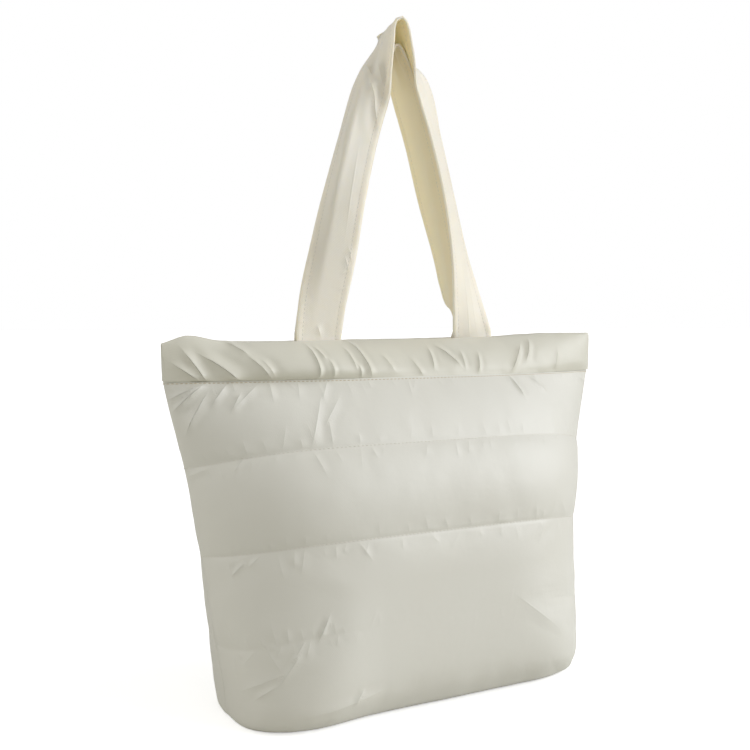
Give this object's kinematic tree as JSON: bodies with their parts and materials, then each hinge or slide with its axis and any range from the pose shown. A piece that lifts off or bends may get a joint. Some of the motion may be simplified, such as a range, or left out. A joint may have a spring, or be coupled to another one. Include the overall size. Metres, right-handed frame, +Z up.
{
  "type": "quilted tote bag",
  "caption": "Padded quilted tote bag with a banded mouth, a flat base and raised shoulder straps, for carrying things by hand or on the shoulder.",
  "frame": {"origin": "bottom centre of the base, on the surface it stands on", "axes": "+X along the mouth to the right, +Y from the front to the back, +Z up"},
  "size_m": [0.472, 0.193, 0.6369],
  "materials": {
    "quilted_shell": "smooth satin nylon, ivory",
    "strap_fabric": "smooth satin nylon, ivory"
  },
  "bodies": {
    "root": {"base_panel": "quilted_shell", "front_panel": "quilted_shell", "back_panel": "quilted_shell", "front_band": "quilted_shell", "back_band": "quilted_shell", "front_strap": "strap_fabric", "back_strap": "strap_fabric"}
  },
  "joints": []
}
